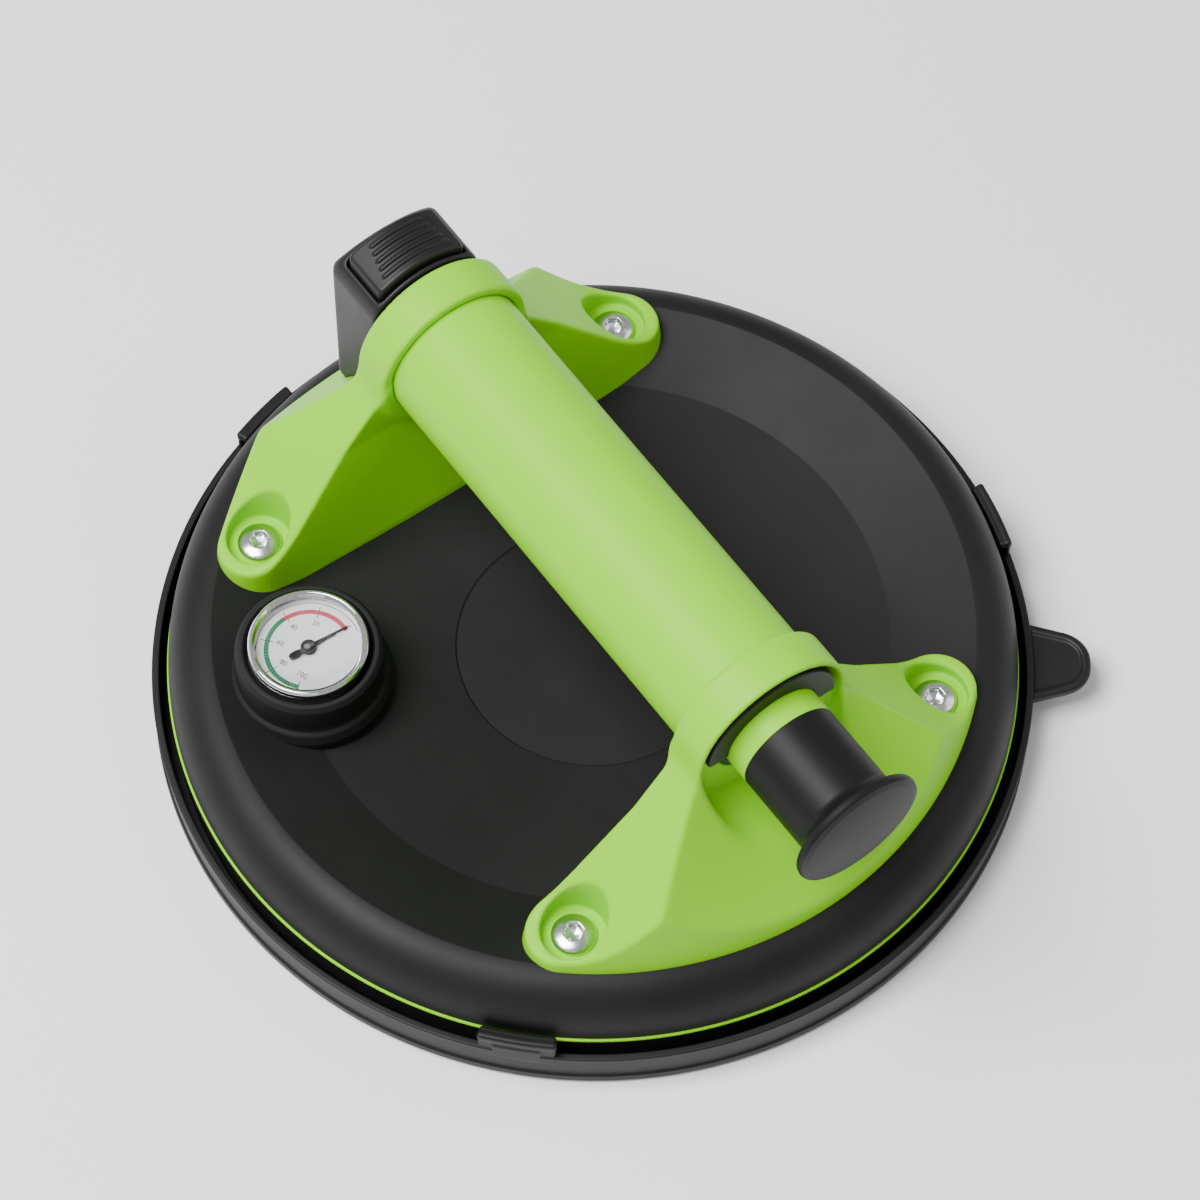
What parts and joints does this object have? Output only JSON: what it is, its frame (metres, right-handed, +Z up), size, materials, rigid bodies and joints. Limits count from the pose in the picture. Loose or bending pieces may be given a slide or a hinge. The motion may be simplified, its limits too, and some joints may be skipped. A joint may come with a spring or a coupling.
{
  "type": "hand vacuum pump",
  "caption": "Round suction cup lifter with a hand vacuum pump in its bridge handle, a plunger knob, a release button, a vacuum gauge and a clip-on pad cover.",
  "frame": {"origin": "middle of the base, on the surface that the closed cover stands on", "axes": "+Z up out of the cup, Y along the handle with the plunger towards -Y, gauge on the -X side"},
  "size_m": [0.208, 0.208, 0.0975],
  "materials": {
    "cover_plastic": "fine matt moulded grain",
    "black_rubber": "matt black rubber",
    "lime_plastic": "satin lime green moulding",
    "plate_plastic": "soft matt black moulding",
    "brass": "turned brass",
    "screw_steel": "bright zinc plated steel",
    "spring_steel": "drawn spring wire",
    "barrel_aluminium": "drawn and honed",
    "black_plastic": "satin black moulding",
    "plunger_plastic": "satin black moulding",
    "grey_plastic": "glass filled nylon",
    "white_plastic": "slippery white bearing plastic",
    "white_felt": "pressed felt",
    "gauge_metal": "drawn cup",
    "dial_white": "printed dial",
    "lens_clear": "clear polished window",
    "chrome_trim": "polished chrome",
    "needle_black": "matt black lacquer"
  },
  "bodies": {
    "cover": {"pad_cover": "cover_plastic"},
    "lifter": {"rubber_pad": "black_rubber", "edge_ring": "lime_plastic", "mounting_plate": "plate_plastic", "threaded_inserts": "brass", "front_foot": "lime_plastic", "rear_foot": "lime_plastic", "grip_tube": "lime_plastic", "foot_screws": "screw_steel", "pump_barrel": "barrel_aluminium", "guide_bush": "black_plastic", "wiper_seal": "black_rubber", "head_oring": "black_rubber", "valve_block": "black_plastic", "valve_cage": "screw_steel", "air_riser": "grey_plastic", "filter_holder": "black_plastic", "felt_filter": "white_felt", "pump_spring": "spring_steel", "check_spring": "spring_steel", "button_spring": "spring_steel", "gauge_boot": "black_rubber", "gauge_case": "gauge_metal", "gauge_dial": "dial_white", "gauge_lens": "lens_clear", "gauge_bezel": "chrome_trim", "gauge_stem": "brass", "stem_oring": "black_rubber", "bourdon_tube": "brass", "gauge_movement": "brass"},
    "plunger": {"plunger_tube": "plunger_plastic", "plunger_band": "lime_plastic", "piston_head": "grey_plastic", "piston_cup": "black_rubber", "piston_guide_ring": "white_plastic"},
    "button": {"release_button": "black_plastic", "valve_stem": "screw_steel", "release_poppet": "black_rubber"},
    "needle": {"gauge_needle": "needle_black", "needle_shaft": "screw_steel"},
    "check_valve": {"check_ball": "screw_steel"}
  },
  "joints": [
    {"name": "plunger_slide", "type": "slide", "parent": "lifter", "child": "plunger", "axis": [0, 1, 0], "range_m": [0, 0.025], "stiffness_N_per_m": 250, "springref_m": -0.02, "deforming": ["pump_spring"]},
    {"name": "button_press", "type": "slide", "parent": "lifter", "child": "button", "axis": [0, 0, -1], "range_m": [0, 0.003], "stiffness_N_per_m": 900, "springref_m": -0.002, "deforming": ["button_spring"]},
    {"name": "needle_turn", "type": "hinge", "parent": "lifter", "child": "needle", "pos_m": [-0.0606, 0.0288, 0.0372], "axis": [0, 0, 1], "range_deg": [0, 225], "stiffness_Nm_per_rad": 0.0001},
    {"name": "check_lift", "type": "slide", "parent": "lifter", "child": "check_valve", "axis": [0, -1, 0], "range_m": [0, 0.0012], "stiffness_N_per_m": 60, "springref_m": -0.0005, "deforming": ["check_spring"]},
    {"name": "lift_off_cover", "type": "slide", "parent": "cover", "child": "lifter", "axis": [0, 0, 1], "range_m": [0, 0.03]}
  ]
}
